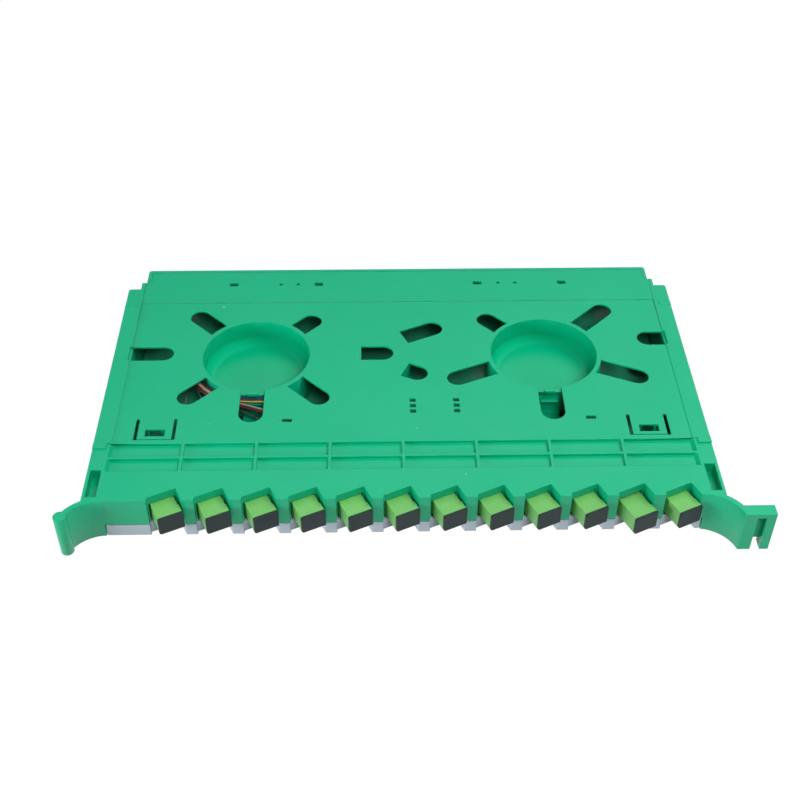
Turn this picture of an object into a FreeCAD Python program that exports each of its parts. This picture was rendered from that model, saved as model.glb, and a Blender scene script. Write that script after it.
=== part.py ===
"""Fibre splice tray with tilted adapters, lying on its cover with the underside of the tray up."""

import FreeCAD, Part
import math
import os
import re

# Driving dimensions, in millimetres and degrees. Plan places count from the point midway between
# the two hubs, +X to the right and +Y to the rear; heights count from the surface it lies on.
SIZES = {
    # Tray shell
    "tray_height": 24.0,
    "floor_thick": 1.3,
    "wall_thick": 2.3,
    "half_width": 144.3,
    "rear_y": 74.8,
    "front_y": 104.6,
    "rear_inset": 2.6,
    "shoulder_y": 63.5,
    "front_low": 7.5,
    "rim_rise": 0.6,
    "strip_front": 44.6,
    "strip_rise": 0.4,
    "corner_round": 1.6,
    # Side rails with their stop pads and front pockets
    "rail_width": 6.6,
    "rail_thick": 3.2,
    "rail_rear": 57.5,
    "pad_rise": 0.5,
    "pad_front_y": 68.2,
    "pad_front_length": 4.3,
    "pad_rear_y": 40.7,
    "pad_rear_length": 2.7,
    "rail_hole_rear": 84.2,
    "rail_hole_length": 17.5,
    "rail_hole_depth": 6.0,
    "rail_hole_wall": 1.5,
    # Ribbed recess across the front
    "recess_rear": 66.65,
    "recess_front": 85.0,
    "recess_depth": 1.8,
    "recess_rim": 1.3,
    "recess_slope": 2.0,
    "recess_slope_top": 0.25,
    "rib_thick": 1.6,
    "rib_count": 7,
    "cross_rib_y": 76.0,
    # Winding hubs, their tabs and the windows over the tabs
    "hub_spacing": 151.94,
    "hub_bore": 28.0,
    "hub_wall": 2.4,
    "hub_depth": 14.5,
    "hub_cap": 2.0,
    "hub_round": 5.0,
    "slot_width": 11.0,
    "tab_thick": 1.8,
    "tab_gap": 0.3,
    "door_width": 12.2,
    "door_reach": 45.6,
    "door_lip_drop": 1.5,
    "ledge_drop": 4.0,
    "ledge_reach": 2.5,
    "ledge_thick": 1.0,
    "ledge_gap": 1.4,
    "door_lug_width": 5.6,
    "door_lug_reach": 0.6,
    "door_lug_thick": 2.0,
    "socket_width": 10.0,
    "socket_depth": 1.8,
    "socket_rim": 0.5,
    # Tabs at the side walls and in the middle
    "edge_slot_start": 1.1,
    "left_edge_y": 1.85,
    "left_edge_reach": 18.0,
    "right_edge_y": 11.15,
    "right_edge_reach": 10.1,
    "post_thick": 2.0,
    "post_length": 14.0,
    # Small windows
    "strip_window_y": 61.4,
    "strip_window_length": 4.7,
    "strip_window_width": 2.9,
    "strip_inner_x": 44.7,
    "strip_outer_x": 92.5,
    "dot_radius": 1.0,
    "dot_inner_x": 56.5,
    "dot_outer_x": 66.1,
    "clip_thick": 1.4,
    "clip_leg": 0.9,
    "clip_height": 10.0,
    "tie_window_y": 50.6,
    "tie_window_offset": 18.4,
    "tie_window_length": 5.0,
    "tie_window_width": 2.3,
    # Snap tongues that catch the front cover
    "tongue_inset": 22.2,
    "tongue_width": 17.0,
    "tongue_slit": 1.6,
    "tongue_root_y": 48.8,
    "tongue_tip_y": 63.2,
    "tongue_tip_slit": 0.6,
    "catch_window_width": 9.6,
    "catch_y": 56.4,
    "catch_length": 4.8,
    "catch_thick": 2.0,
    "catch_leg": 1.4,
    "catch_low": 3.2,
    "catch_gap": 0.4,
    # Pull ears
    "ear_radius": 18.0,
    "ear_thick": 2.6,
    "left_ear_start": 2.6,
    "left_ear_sweep": 58.0,
    "ear_bead": 3.1,
    "ear_bead_ahead": 1.6,
    "right_ear_start": 4.6,
    "right_ear_sweep": 75.0,
    "ear_block_length": 14.7,
    "ear_block_width": 6.2,
    "ear_slot_width": 4.4,
    "ear_slot_depth": 4.4,
    "ear_slot_x": 6.0,
    "ear_slot_top": 2.8,
    "ear_slot_exit": 3.6,
    # Ports in the saw-tooth front
    "port_pitch": 22.125,
    "port_margin": 30.05,
    "port_y": 99.7,
    "port_tilt": 25.0,
    "notch_width": 14.3,
    "port_wall": 2.2,
    "port_gap": 0.25,
    "loose_port_number": 11,
    "loose_offset": 2.4,
    "loose_drop": 1.2,
    # Adapters and caps
    "adapter_width": 11.6,
    "adapter_height": 9.6,
    "adapter_rise": 2.0,
    "adapter_front": 10.4,
    "adapter_rear": 17.0,
    "key_rise": 0.5,
    "key_length": 4.6,
    "flange_width": 18.4,
    "flange_thick": 2.2,
    "flange_gap": 2.6,
    "cavity_width": 9.4,
    "cavity_height": 7.4,
    "web_thick": 2.0,
    "tube_radius": 2.5,
    "tube_length": 12.0,
    "cap_thick": 1.3,
    "cap_lap": 0.15,
    "cap_plug": 6.5,
    "cap_gap": 0.1,
    # Plugs on the inner side
    "sleeve_radius": 1.65,
    "ferrule_radius": 1.25,
    "ferrule_length": 10.0,
    "fit_gap": 0.05,
    "plug_gap": 0.2,
    "plug_length": 18.0,
    "groove_count": 3,
    "groove_pitch": 2.6,
    "groove_width": 1.2,
    "groove_depth": 0.6,
    "boot_length": 12.0,
    "boot_radius": 2.6,
    "boot_tip": 1.3,
    # Grey cover over the adapters
    "cover_gap": 0.4,
    "cover_lift": 0.3,
    "cover_thick": 1.6,
    "cover_rear": 58.6,
    "skirt_gap": 0.6,
    # Lid over the fibre bay
    "lid_gap": 0.6,
    "lid_thick": 1.5,
    "pivot_y": 67.5,
    "pivot_z": 3.6,
    "pivot_radius": 1.5,
    "pivot_gap": 0.1,
    "lug_thick": 2.4,
    "lug_radius": 2.6,
    "lid_tail": 1.0,
    "entry_inset": 20.3,
    "entry_width": 14.0,
    "entry_height": 9.0,
    "entry_drop": 3.0,
    # Splice holder and splices
    "splice_x": 16.5,
    "splice_y": 40.7,
    "window_columns": 22.1,
    "window_pitch": 4.05,
    "window_row_count": 3,
    "window_length": 2.9,
    "window_width": 2.6,
    "hook_thick": 1.4,
    "holder_base": 2.1,
    "comb_length": 17.6,
    "comb_floor": 1.6,
    "splice_slot_count": 6,
    "splice_pitch": 3.6,
    "splice_radius": 1.4,
    "splice_length": 40.0,
    "splice_gap": 0.1,
    "comb_wall": 0.6,
    # Fibres
    "fibre_radius": 0.45,
    "fibre_pitch": 1.1,
    "fibre_layer": 1.3,
    "wind_gap": 0.2,
    "first_layer": 2.0,
    "lane_y": 58.5,
    "lane_end": 25.6,
    "lane_skew": 0.36,
    "hug_x": 52.0,
    "rise_length": 14.0,
    "leave_angle": 70.0,
    "splice_lead": 5.0,
    "fibre_bend": 40.0,
}

# Windows that point away from a hub: direction in degrees and reach of the round end
LEFT_HUB_SLOTS = {"upper_left": (135, 45.6), "upper_right": (45, 39.8),
                  "lower_left": (225, 46.3), "lower_right": (315, 47.8)}
RIGHT_HUB_SLOTS = {"upper_left": (135, 39.8), "upper_right": (45, 50.3),
                   "lower_left": (203, 50.7), "lower_right": (337, 51.0)}
# Windows in the middle: start x and y, direction in degrees, length to the round end
CENTRE_SLOTS = {"centre_left": (-20.7, 0.8, 0, 11.5), "centre_upper": (2.15, 13.8, 25, 17.0),
                "centre_lower": (2.15, -12.7, -25, 6.9)}

doc = FreeCAD.newDocument("splice_tray")
sheet = doc.addObject("Spreadsheet::Sheet", "dim")
for row, (alias, value) in enumerate(SIZES.items(), start=1):
    sheet.set(f"A{row}", alias)
    sheet.set(f"B{row}", str(value))
    sheet.setAlias(f"B{row}", alias)
for side, slots in (("left", LEFT_HUB_SLOTS), ("right", RIGHT_HUB_SLOTS)):
    for name, (direction, reach) in slots.items():
        row += 1
        sheet.set(f"B{row}", str(direction))
        sheet.setAlias(f"B{row}", f"{side}_{name}_turn")
        row += 1
        sheet.set(f"B{row}", str(reach))
        sheet.setAlias(f"B{row}", f"{side}_{name}_reach")
for name, values in CENTRE_SLOTS.items():
    for key, value in zip(("x", "y", "turn", "reach"), values):
        row += 1
        sheet.set(f"B{row}", str(value))
        sheet.setAlias(f"B{row}", f"{name}_{key}")
doc.recompute()

# Heights and plan lines that several pieces share, as formulas over the sheet
TOP = "tray_height"
UNDER = "(tray_height - floor_thick)"
INNER = "(half_width - wall_thick)"
REAR_HALF = "(half_width - rear_inset)"
REAR_INNER = "(half_width - rear_inset - wall_thick)"
RAIL_OUT = "(half_width + rail_width)"
TAB_LOW = "(tray_height - hub_depth - hub_cap)"
FRONT_LOW = "front_low"
AXIS = "(front_low + adapter_rise + adapter_height / 2)"
WEB = "((adapter_rear - adapter_front) / 2)"
FLANGE_BACK = "(port_wall + flange_gap)"
PLUG_START = "((adapter_rear - adapter_front) / 2 + tube_length / 2 + plug_gap)"
PLUG_END = "((adapter_rear - adapter_front) / 2 + tube_length / 2 + plug_gap + plug_length)"
COVER_HALF = "(half_width - wall_thick - cover_gap)"
SKIRT_TOP = "(front_low - skirt_gap)"
COMB_FLOOR = "(tray_height - floor_thick - holder_base - comb_floor)"
WIND_RADIUS = "(hub_bore + hub_wall + wind_gap + fibre_radius)"
LIP = "(tray_height - door_lip_drop)"
LEDGE_TOP = "(tray_height - door_lip_drop - ledge_drop)"
HUB_OUT = "(hub_bore + hub_wall)"
WALL_MIDDLE = "(-hub_bore - hub_wall / 2)"
RECESS_HALF = "(half_width - recess_rim)"
TONGUE_X = "(half_width - tongue_inset)"
ENTRY_X = "(half_width - entry_inset)"
NOTCH_REACH = ("(notch_width / 2 * cos(port_tilt)"
               " + (front_y - port_y + notch_width / 2 * sin(port_tilt)) * tan(port_tilt))")
OVER = "1"
# Share of the winding radius that the arcs round a hub have, so that short straight runs join them
ARC_SHARE = 0.99
# Share of a straight run that the bends at its ends may take up
RUN_SHARE = 0.9

# The origin is the middle of the part's box, on the surface that it lies on
LEFT_EAR_X = "(-(half_width - left_ear_start))"
RIGHT_EAR_X = "(half_width - right_ear_start)"
EAR_Y = "(-(front_y + ear_radius))"
EAR_MIDDLE = "(ear_radius + ear_thick / 2)"
BEAD_X = (f"({LEFT_EAR_X} - {EAR_MIDDLE} * sin(left_ear_sweep)"
          " - ear_bead_ahead * cos(left_ear_sweep))")
BEAD_Y = (f"({EAR_Y} + {EAR_MIDDLE} * cos(left_ear_sweep)"
          " - ear_bead_ahead * sin(left_ear_sweep))")
BLOCK_X = f"({RIGHT_EAR_X} + ear_radius * sin(right_ear_sweep))"
BLOCK_Y = f"({EAR_Y} + ear_radius * cos(right_ear_sweep))"
SHIFT_X = f"(-({BLOCK_X} + ear_block_length + {BEAD_X} - ear_bead) / 2)"
SHIFT_Y = f"(-(rear_y + {BLOCK_Y}) / 2)"

PLAN = ("0", "0", None)
ALIASES = set(SIZES) | {cell for cell in (sheet.getAlias(f"B{n}") for n in range(1, row + 1)) if cell}
WORD = re.compile(r"[a-z][a-z_0-9]*")


def size(alias):
    """Value of one driving dimension."""
    return float(sheet.get(alias))


def count(alias):
    """Value of a driving dimension that counts things."""
    return int(round(size(alias)))


def formula(text):
    """Formula over the sheet, from words that are the sheet's aliases."""
    return WORD.sub(lambda m: f"dim.{m.group()}" if m.group() in ALIASES else m.group(), text)


def number(text):
    """Value of a formula, worked out by the sheet."""
    return float(sheet.evalExpression(formula(text)))


def port_total():
    """How many ports fit between the side walls."""
    room = number(f"2 * half_width - port_margin - {NOTCH_REACH} - wall_thick - cover_gap")
    return 1 + int(room // size("port_pitch"))


def bind(thing, prop, text):
    """Tie a property to the sheet."""
    thing.setExpression(prop, formula(text))


def place(thing, frame, x, y, z, lay=None):
    """Put a thing at x, y, z of a plan frame: its origin and, if it is turned, its angle."""
    frame_x, frame_y, turn = frame
    if lay:
        thing.Placement = FreeCAD.Placement(FreeCAD.Vector(), FreeCAD.Rotation(*lay))
    if turn is None:
        bind(thing, "Placement.Base.x", f"{frame_x} + ({x})")
        bind(thing, "Placement.Base.y", f"{frame_y} + ({y})")
    else:
        if not lay:
            thing.Placement = FreeCAD.Placement(FreeCAD.Vector(), FreeCAD.Rotation(FreeCAD.Vector(0, 0, 1), 1))
            bind(thing, "Placement.Rotation.Angle", turn)
        bind(thing, "Placement.Base.x", f"{frame_x} + ({x}) * cos({turn}) - ({y}) * sin({turn})")
        bind(thing, "Placement.Base.y", f"{frame_y} + ({x}) * sin({turn}) + ({y}) * cos({turn})")
    bind(thing, "Placement.Base.z", z)


def block(name, x, y, z, frame=PLAN):
    """Box between two limits in each direction of a plan frame."""
    box = doc.addObject("Part::Box", name)
    for prop, (low, high) in zip(("Length", "Width", "Height"), (x, y, z)):
        bind(box, prop, f"({high}) - ({low})")
    place(box, frame, x[0], y[0], z[0])
    return box


def post(name, x, y, z, radius, frame=PLAN):
    """Upright cylinder."""
    rod = doc.addObject("Part::Cylinder", name)
    bind(rod, "Radius", radius)
    bind(rod, "Height", f"({z[1]}) - ({z[0]})")
    place(rod, frame, x, y, z[0])
    return rod


def bar(name, x, y, z, radius):
    """Cylinder that lies along Y."""
    rod = doc.addObject("Part::Cylinder", name)
    bind(rod, "Radius", radius)
    bind(rod, "Height", f"({y[1]}) - ({y[0]})")
    place(rod, PLAN, x, y[0], z, (FreeCAD.Vector(1, 0, 0), -90))
    return rod


def axle(name, x, y, z, radius):
    """Cylinder that lies along X."""
    rod = doc.addObject("Part::Cylinder", name)
    bind(rod, "Radius", radius)
    bind(rod, "Height", f"({x[1]}) - ({x[0]})")
    place(rod, PLAN, x[0], y, z, (FreeCAD.Vector(0, 1, 0), 90))
    return rod


def fuse(name, pieces):
    """Pieces joined into one shape."""
    joined = doc.addObject("Part::MultiFuse", name)
    joined.Shapes = pieces
    return joined


def cut(name, base, tools):
    """Base less the tools."""
    result = doc.addObject("Part::Cut", name)
    result.Base = base
    result.Tool = tools[0] if len(tools) == 1 else fuse(f"{name}_tools", tools)
    return result


def common(name, base, tool):
    """What two shapes share."""
    result = doc.addObject("Part::Common", name)
    result.Base = base
    result.Tool = tool
    return result


def stadium(name, start, reach, half, z, frame):
    """Slot shape along X of a frame, flat at its start and round at its end."""
    return [block(f"{name}_run", (start, reach), (f"-({half})", half), z, frame),
            post(f"{name}_end", reach, "0", z, half, frame)]


def both_sides(make, name, x, y, z):
    """The same box on the left and on the right."""
    low, high = x
    return [make(f"{name}_left", (f"-({high})", f"-({low})"), y, z), make(f"{name}_right", (low, high), y, z)]


def port_frame(index):
    """Plan frame of a port: -Y points out of the tray along the adapter."""
    return (f"(port_margin - half_width + {index} * port_pitch)", "(-port_y)", "port_tilt")


def notch_cutters(name, z):
    """Space in front of each port, with its straight left side."""
    tools = []
    for index in range(port_total()):
        frame = port_frame(index)
        corner_x = f"{frame[0]} - notch_width / 2 * cos(port_tilt)"
        corner_y = "(-port_y - notch_width / 2 * sin(port_tilt))"
        tools.append(block(f"{name}_{index}", ("-notch_width / 2", "notch_width / 2"),
                           ("-3 * notch_width / 2", "0"), z, frame))
        tools.append(block(f"{name}_side_{index}", (corner_x, f"{corner_x} + port_wall"),
                           (f"-front_y - {OVER}", corner_y), z))
    return tools


def sawtooth_wall(name, thick, z, end):
    """Folded front wall: a slanted face behind each adapter, its side and the land to the next."""
    slabs = []
    last = port_total() - 1
    front = ("-front_y", f"-front_y + {thick}")
    for index in range(last + 1):
        frame = port_frame(index)
        across = (f"-notch_width / 2 - {thick}", f"notch_width / 2 + {thick}")
        slabs.append(block(f"{name}_face_{index}", across, ("0", thick), z, frame))
        slabs.append(block(f"{name}_side_{index}", ("notch_width / 2", f"notch_width / 2 + {thick}"),
                           ("-notch_width", thick), z, frame))
        left_x = f"({frame[0]} - notch_width / 2 * cos(port_tilt))"
        slabs.append(block(f"{name}_lip_{index}", (f"{left_x} - {thick}", left_x),
                           ("-front_y", "-port_y - notch_width / 2 * sin(port_tilt)"), z))
        land_end = end if index == last else f"{left_x} + port_pitch"
        slabs.append(block(f"{name}_land_{index}", (f"{frame[0]} + {NOTCH_REACH}", land_end), front, z))
        if index == 0:
            slabs.append(block(f"{name}_start", (f"-{end}", left_x), front, z))
    room = block(f"{name}_room", (f"-{end}", end), ("-front_y", "-port_y + notch_width"), z)
    return common(f"{name}_wall", fuse(f"{name}_slabs", slabs), room)


def settle(node, label, frame=PLAN, height="0"):
    """Name a finished sub-part and move it to the part's own origin."""
    node.Label = label
    place(node, (f"{SHIFT_X} + {frame[0]}", f"{SHIFT_Y} + {frame[1]}", frame[2]), "0", "0", height)
    return node


def slot_frames():
    """Plan frames, starts and reaches of all the long windows."""
    frames = []
    for side, sign, slots in (("left", "-", LEFT_HUB_SLOTS), ("right", "", RIGHT_HUB_SLOTS)):
        for name in slots:
            alias = f"{side}_{name}"
            frames.append((alias, (f"({sign}hub_spacing / 2)", "0", f"{alias}_turn"),
                           "(hub_bore + hub_wall / 2)", f"{alias}_reach", "slot_width"))
        frames.append((f"{side}_door", (f"({sign}hub_spacing / 2)", "0", "270"),
                       "(hub_bore + hub_wall / 2)", "door_reach", "door_width"))
    for name in CENTRE_SLOTS:
        frame = (f"({name}_x)", f"({name}_y)", f"({name}_turn)")
        frames.append((name, frame, "0", f"{name}_reach", "slot_width"))
    edge = f"({INNER} + edge_slot_start)"
    frames.append(("left_edge", (f"(-{edge})", "left_edge_y", "0"), "0", "left_edge_reach", "slot_width"))
    frames.append(("right_edge", (edge, "right_edge_y", "180"), "0", "right_edge_reach", "slot_width"))
    return frames


def panel():
    """Flat top with rim, rear strip and recess, and every window through it."""
    plates = [
        block("panel_main", ("-half_width", "half_width"), ("-front_y", "shoulder_y"), (UNDER, TOP)),
        block("panel_rear", (f"-{REAR_HALF}", REAR_HALF), ("shoulder_y", "rear_y"), (UNDER, TOP)),
        block("recess_floor", (f"-{INNER}", INNER),
              ("-recess_front - floor_thick", "-recess_rear + floor_thick"), (f"{UNDER} - recess_depth", UNDER)),
        block("strip_main", (f"-{INNER}", INNER), ("strip_front", "shoulder_y"), (TOP, f"{TOP} + strip_rise")),
        block("strip_rear", (f"-{REAR_HALF}", REAR_HALF), ("shoulder_y", "rear_y"),
              (TOP, f"{TOP} + strip_rise")),
        block("rim_rear", (f"-{REAR_HALF}", REAR_HALF), ("rear_y - wall_thick", "rear_y"),
              (TOP, f"{TOP} + rim_rise")),
    ]
    rim = (TOP, f"{TOP} + rim_rise")
    plates += both_sides(block, "rim_rail", (INNER, RAIL_OUT), ("-recess_rear", "rail_rear"), rim)
    plates += both_sides(block, "rim_side", (INNER, "half_width"), ("rail_rear", "shoulder_y"), rim)
    plates += both_sides(block, "rim_end", (REAR_INNER, REAR_HALF), ("shoulder_y", "rear_y"), rim)

    through = (f"{UNDER} - recess_depth - {OVER}", f"{TOP} + rim_rise + {OVER}")
    holes = [block("recess", (f"-{RECESS_HALF}", RECESS_HALF), ("-recess_front", "-recess_rear"),
                   (f"{TOP} - recess_depth", f"{TOP} + {OVER}"))]
    for name, frame, start, reach, width in slot_frames():
        holes += stadium(f"{name}_window", start, reach, f"{width} / 2", through, frame)
    strip_y = ("strip_window_y - strip_window_width / 2", "strip_window_y + strip_window_width / 2")
    for place_x in ("strip_inner_x", "strip_outer_x"):
        holes += both_sides(block, f"{place_x}_window", (f"{place_x} - strip_window_length / 2",
                            f"{place_x} + strip_window_length / 2"), strip_y, through)
    for place_x in ("dot_inner_x", "dot_outer_x"):
        for sign in ("-", ""):
            holes.append(post(f"{place_x}_hole", f"{sign}{place_x}", "strip_window_y", through, "dot_radius"))
    tie_y = ("-tie_window_y - tie_window_width / 2", "-tie_window_y + tie_window_width / 2")
    for sign in ("-", ""):
        middle = f"({sign}hub_spacing / 2 + tie_window_offset)"
        tie_x = (f"{middle} - tie_window_length / 2", f"{middle} + tie_window_length / 2")
        holes.append(block("tie_window", tie_x, tie_y, through))
    for name, column, row_y in splice_windows():
        holes.append(block(name, (f"{column} - window_length / 2", f"{column} + window_length / 2"),
                           (f"{row_y} - window_width / 2", f"{row_y} + window_width / 2"), through))
    for sign in ("-", ""):
        middle = f"({sign}{TONGUE_X})"
        left = f"{middle} - tongue_width / 2"
        right = f"{middle} + tongue_width / 2"
        slit_y = ("-tongue_tip_y - tongue_tip_slit", "-tongue_root_y")
        holes += [
            block("tongue_slit_a", (f"{left} - tongue_slit", left), slit_y, through),
            block("tongue_slit_b", (right, f"{right} + tongue_slit"), slit_y, through),
            block("tongue_tip_slit", (left, right), ("-tongue_tip_y - tongue_tip_slit", "-tongue_tip_y"), through),
            block("catch_window", (f"{middle} - catch_window_width / 2", f"{middle} + catch_window_width / 2"),
                  ("-catch_y - catch_length", "-catch_y"), through),
        ]
    holes += notch_cutters("panel_notch", through)
    return cut("panel", fuse("panel_plates", plates), holes)


def splice_windows():
    """Names and centres of the windows beside the splice holder."""
    rows = count("window_row_count")
    found = []
    for side, sign in (("left", "-"), ("right", "+")):
        for index in range(rows):
            row_y = f"(-splice_y + ({index} - {(rows - 1) / 2}) * window_pitch)"
            found.append((f"splice_window_{side}_{index}", f"(splice_x {sign} window_columns / 2)", row_y))
    return found


def walls():
    """Upright walls of the tray."""
    low = ("0", UNDER)
    parts = both_sides(block, "side_wall", (INNER, "half_width"), ("-front_y", "shoulder_y"), low)
    parts += both_sides(block, "shoulder", (REAR_INNER, "half_width"),
                        ("shoulder_y - wall_thick", "shoulder_y"), low)
    parts += both_sides(block, "rear_side", (REAR_INNER, REAR_HALF), ("shoulder_y - wall_thick", "rear_y"), low)
    parts.append(block("rear_wall", (f"-{REAR_HALF}", REAR_HALF), ("rear_y - wall_thick", "rear_y"), low))
    parts.append(sawtooth_wall("front", "port_wall", (FRONT_LOW, UNDER), INNER))
    return parts


def hubs_and_tabs():
    """Drums, the tabs that reach out over the fibre, and the posts that carry the middle tabs."""
    tab_z = (TAB_LOW, f"{TAB_LOW} + tab_thick")
    parts = []
    for sign in ("-", ""):
        parts.append(post("drum", f"{sign}hub_spacing / 2", "0", (TAB_LOW, TOP), "hub_bore + hub_wall"))
    for name, frame, start, reach, width in slot_frames():
        parts += stadium(f"{name}_tab", start, reach, f"{width} / 2 - tab_gap", tab_z, frame)
    for sign in ("-", ""):
        hub_x = f"({sign}hub_spacing / 2)"
        half_ledge = "(door_width / 2 - ledge_gap)"
        parts.append(block("door_ledge", (f"{hub_x} - {half_ledge}", f"{hub_x} + {half_ledge}"),
                           (f"-{HUB_OUT} - ledge_reach", WALL_MIDDLE),
                           (f"{LEDGE_TOP} - ledge_thick", LEDGE_TOP)))
        parts.append(block("door_lug", (f"{hub_x} - door_lug_width / 2", f"{hub_x} + door_lug_width / 2"),
                           (f"-{HUB_OUT} - door_lug_reach", WALL_MIDDLE), (f"{TOP} - door_lug_thick", TOP)))
    for name in CENTRE_SLOTS:
        frame = (f"({name}_x)", f"({name}_y)", f"({name}_turn)")
        parts.append(block(f"{name}_post", ("-post_thick", "0"), ("-post_length / 2", "post_length / 2"),
                           (TAB_LOW, UNDER), frame))
    return parts


def recess_end(side):
    """Sloping end wall of the recess; side is the sign of its x."""
    wedge = doc.addObject("Part::Wedge", "recess_end")
    inward = "-" if side == "+" else ""
    low, high = ("Xmin", "Xmax") if side == "-" else ("Xmax", "Xmin")
    bind(wedge, low, "0")
    bind(wedge, high, f"{inward}recess_slope")
    bind(wedge, low.replace("X", "X2"), "0")
    bind(wedge, high.replace("X", "X2"), f"{inward}recess_slope_top")
    bind(wedge, "Ymin", "0")
    bind(wedge, "Ymax", "recess_depth")
    for prop, reach in (("Zmin", "0"), ("Z2min", "0"), ("Zmax", "recess_front - recess_rear"),
                        ("Z2max", "recess_front - recess_rear")):
        bind(wedge, prop, reach)
    place(wedge, PLAN, f"{side}{RECESS_HALF}", "-recess_rear", f"{TOP} - recess_depth",
          (FreeCAD.Vector(1, 0, 0), 90))
    return wedge


def ribs():
    """Ribs that divide the recess, and its sloping ends."""
    rib_z = (f"{TOP} - recess_depth", TOP)
    bays = count("rib_count") + 1
    parts = [block("cross_rib", (f"-{RECESS_HALF}", RECESS_HALF),
                   ("-cross_rib_y - rib_thick / 2", "-cross_rib_y + rib_thick / 2"), rib_z)]
    for side in ("-", "+"):
        parts.append(recess_end(side))
    for index in range(1, bays):
        middle = f"(-{RECESS_HALF} + {index} * 2 * {RECESS_HALF} / {bays})"
        parts.append(block(f"rib_{index}", (f"{middle} - rib_thick / 2", f"{middle} + rib_thick / 2"),
                           ("-recess_front", "-recess_rear"), rib_z))
    return parts


def clips():
    """Catches on the snap tongues, clips along the rear and hooks beside the splice holder."""
    parts = []
    for sign in ("-", ""):
        middle = f"({sign}{TONGUE_X})"
        half = "(catch_window_width / 2 - catch_gap)"
        wide = (f"{middle} - {half}", f"{middle} + {half}")
        for leg in ((wide[0], f"{wide[0]} + catch_leg"), (f"{wide[1]} - catch_leg", wide[1])):
            parts.append(block("catch_leg", leg, ("-catch_y", "-catch_y + catch_thick"), ("catch_low", UNDER)))
        parts.append(block("catch_nose", wide, ("-catch_y - catch_length + catch_gap", "-catch_y"),
                           ("catch_low", "catch_low + catch_thick")))
    rear = "strip_window_y + strip_window_width / 2"
    for place_x in ("strip_inner_x", "strip_outer_x"):
        wide = (f"{place_x} - strip_window_length / 2", f"{place_x} + strip_window_length / 2")
        for leg in ((wide[0], f"{wide[0]} + clip_leg"), (f"{wide[1]} - clip_leg", wide[1])):
            parts += both_sides(block, f"{place_x}_leg", leg, (rear, f"{rear} + clip_thick"),
                                (f"{UNDER} - clip_height", UNDER))
        parts += both_sides(block, f"{place_x}_nose", wide, ("strip_window_y - strip_window_width / 2", rear),
                            (f"{UNDER} - clip_height", f"{UNDER} - clip_height + clip_thick"))
    hook_low = f"{UNDER} - holder_base - splice_gap - hook_thick"
    for name, column, row_y in splice_windows():
        out = "-" if "left" in name else "+"
        edge = f"{column} {out} window_length / 2"
        stem = (f"{edge} - hook_thick", edge) if out == "-" else (edge, f"{edge} + hook_thick")
        past = "window_length / 4"
        nose = (edge, f"{column} + {past}") if out == "-" else (f"{column} - {past}", edge)
        wide = (f"{row_y} - window_width / 2", f"{row_y} + window_width / 2")
        parts.append(block(f"{name}_stem", stem, wide, (hook_low, UNDER)))
        parts.append(block(f"{name}_nose", nose, wide, (hook_low, f"{hook_low} + hook_thick")))
    return parts


def rails():
    """Slide rails along both sides, with stop pads and the block around each front pocket."""
    wide = ("half_width", RAIL_OUT)
    rail_top = f"{TOP} + rim_rise"
    parts = both_sides(block, "rail", wide, ("-front_y", "rail_rear"), (f"{TOP} - rail_thick", TOP))
    parts += both_sides(block, "rail_block", wide, ("-front_y", "-rail_hole_rear + rail_hole_wall"),
                        (f"{TOP} - rail_hole_depth - rail_hole_wall", f"{TOP} - rail_thick"))
    parts += both_sides(block, "pad_front", wide, ("-pad_front_y - pad_front_length / 2",
                        "-pad_front_y + pad_front_length / 2"), (TOP, f"{rail_top} + pad_rise"))
    parts += both_sides(block, "pad_rear", wide, ("pad_rear_y - pad_rear_length / 2",
                        "pad_rear_y + pad_rear_length / 2"), (TOP, f"{rail_top} + pad_rise"))
    return parts


def ear(name, centre_x, start, sweep):
    """Curved wall of a pull ear."""
    outer = post(f"{name}_outer", centre_x, EAR_Y, ("0", TOP), "ear_radius + ear_thick")
    inner = post(f"{name}_inner", centre_x, EAR_Y, (f"-{OVER}", f"{TOP} + {OVER}"), "ear_radius")
    outer.Placement = FreeCAD.Placement(FreeCAD.Vector(), FreeCAD.Rotation(FreeCAD.Vector(0, 0, 1), 1))
    bind(outer, "Placement.Rotation.Angle", start)
    bind(outer, "Angle", sweep)
    return cut(name, outer, [inner])


def ears():
    """Pull ears: a beaded one on the left, one with a slotted block on the right."""
    block_x = (BLOCK_X, f"{BLOCK_X} + ear_block_length")
    block_y = (BLOCK_Y, f"{BLOCK_Y} + ear_block_width")
    parts = [
        ear("left_ear", LEFT_EAR_X, "90", "left_ear_sweep"),
        post("left_bead", BEAD_X, BEAD_Y, ("0", TOP), "ear_bead"),
        ear("right_ear", RIGHT_EAR_X, "90 - right_ear_sweep", "right_ear_sweep"),
        block("right_block", block_x, block_y, ("0", TOP)),
    ]
    relief = block("ear_relief", (f"-{INNER}", INNER), ("-front_y - ear_radius", "-front_y + ear_radius"),
                   (f"-{OVER}", FRONT_LOW))
    return [cut("ear_walls", fuse("ear_solids", parts), [relief])]


def corner_cutter(name, x, y, side, z):
    """What rounds off an upright corner; side is the sign of the corner's x."""
    inward = "-" if side == "+" else "+"
    middle_x = f"({x}) {inward} corner_round"
    middle_y = f"({y}) - corner_round"
    reach = f"({x}) {side} {OVER}"
    wide = (middle_x, reach) if side == "+" else (reach, middle_x)
    square = block(f"{name}_square", wide, (middle_y, f"({y}) + {OVER}"), z)
    return cut(name, square, [post(f"{name}_round", middle_x, middle_y, z, "corner_round")])


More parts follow.
